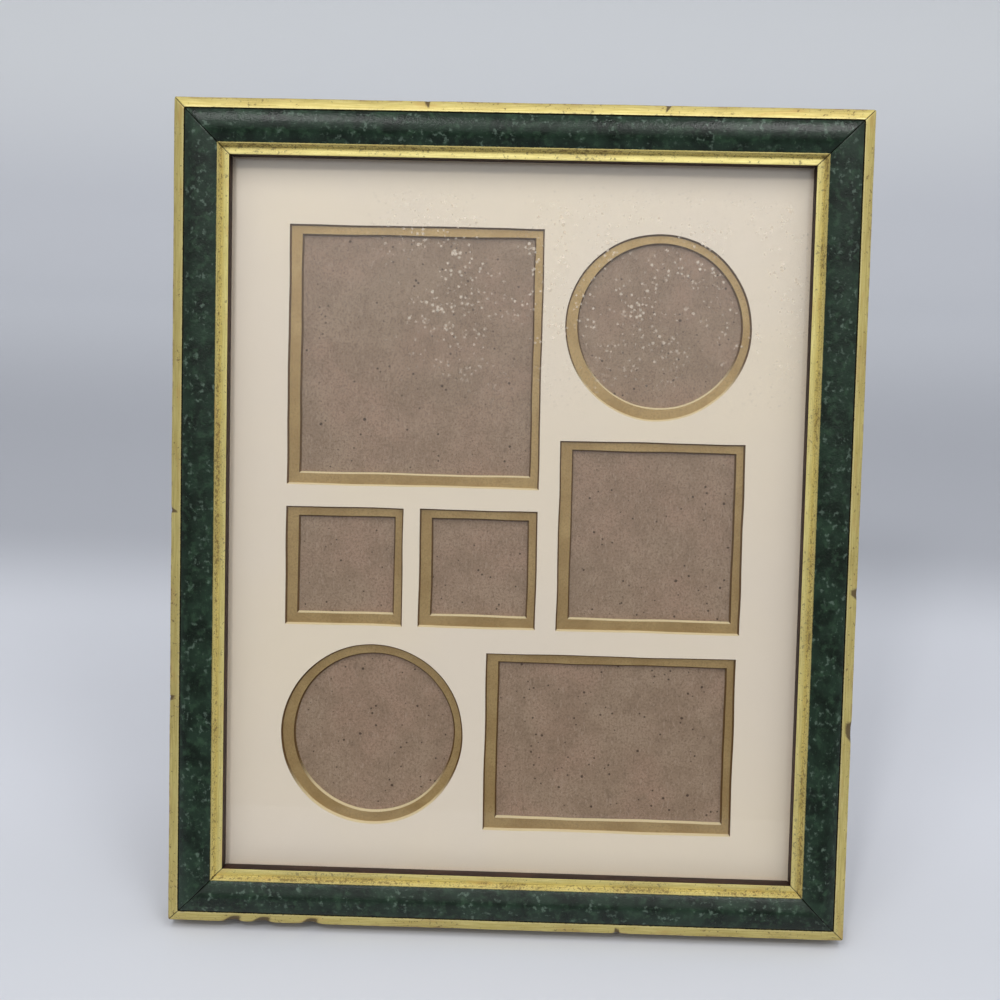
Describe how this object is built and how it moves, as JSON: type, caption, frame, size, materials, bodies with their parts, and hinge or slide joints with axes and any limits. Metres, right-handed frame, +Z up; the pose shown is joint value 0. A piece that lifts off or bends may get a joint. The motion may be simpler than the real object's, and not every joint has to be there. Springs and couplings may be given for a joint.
{
  "type": "collage photo frame",
  "caption": "Table-top collage photo frame with a mitred gold and green moulding, a double mat with square and round windows, and a folding easel leg.",
  "frame": {"origin": "on the table under the middle of the frame's box, as it stands on its easel leg", "axes": "+Z up; the picture faces -Y and leans back towards +Y; +X to the right of someone looking at the picture"},
  "size_m": [0.2274, 0.104, 0.2684],
  "materials": {
    "moulding": "glossy dark green marbled band between antique gold bands",
    "glass": "clear polished float glass",
    "cream_mat": "matt cream faced card",
    "gold_mat": "dull gold faced card",
    "grey_card": "matt speckled grey-brown card",
    "hardboard": "smooth dark brown hardboard",
    "brassed_steel": "brass-plated pressed steel",
    "bright_steel": "bright zinc-plated steel"
  },
  "bodies": {
    "frame": {"top_rail": "moulding", "bottom_rail": "moulding", "left_rail": "moulding", "right_rail": "moulding", "corner_nails": "bright_steel", "glass_pane": "glass", "window_mat": "cream_mat", "liner_mat": "gold_mat", "backing_card": "grey_card", "back_board": "hardboard", "hinge_plate": "brassed_steel", "hinge_plate_rivets": "bright_steel", "hinge_pin": "bright_steel", "hanger_strap": "brassed_steel", "hanger_rivet": "bright_steel", "button_screws": "bright_steel"},
    "leg": {"easel_leg": "hardboard", "leg_leaf": "brassed_steel", "leg_leaf_rivets": "bright_steel"},
    "hanger": {"hanger_ring": "bright_steel"},
    "button_1": {"turn_button_1": "brassed_steel"},
    "button_2": {"turn_button_2": "brassed_steel"},
    "button_3": {"turn_button_3": "brassed_steel"},
    "button_4": {"turn_button_4": "brassed_steel"},
    "button_5": {"turn_button_5": "brassed_steel"},
    "button_6": {"turn_button_6": "brassed_steel"}
  },
  "joints": [
    {"name": "leg_hinge", "type": "hinge", "parent": "frame", "child": "leg", "pos_m": [0, 0.00804, 0.15991], "axis": [1, 0, 0], "range_deg": [-30, 0]},
    {"name": "hanger_swing", "type": "hinge", "parent": "frame", "child": "hanger", "pos_m": [0, 0.02867, 0.23726], "axis": [1, 0, 0], "range_deg": [-12, 162]},
    {"name": "button_1_swivel", "type": "hinge", "parent": "frame", "child": "button_1", "pos_m": [-0.06215, 0.03294, 0.25904], "axis": [0, 0.9659, -0.2588], "continuous": true},
    {"name": "button_2_swivel", "type": "hinge", "parent": "frame", "child": "button_2", "pos_m": [0.06215, 0.03294, 0.25904], "axis": [0, 0.9659, -0.2588], "continuous": true},
    {"name": "button_3_swivel", "type": "hinge", "parent": "frame", "child": "button_3", "pos_m": [-0.06215, -0.03497, 0.00559], "axis": [0, 0.9659, -0.2588], "continuous": true},
    {"name": "button_4_swivel", "type": "hinge", "parent": "frame", "child": "button_4", "pos_m": [0.06215, -0.03497, 0.00559], "axis": [0, 0.9659, -0.2588], "continuous": true},
    {"name": "button_5_swivel", "type": "hinge", "parent": "frame", "child": "button_5", "pos_m": [-0.1078, -0.00101, 0.13232], "axis": [0, 0.9659, -0.2588], "continuous": true},
    {"name": "button_6_swivel", "type": "hinge", "parent": "frame", "child": "button_6", "pos_m": [0.1078, -0.00101, 0.13232], "axis": [0, 0.9659, -0.2588], "continuous": true}
  ]
}
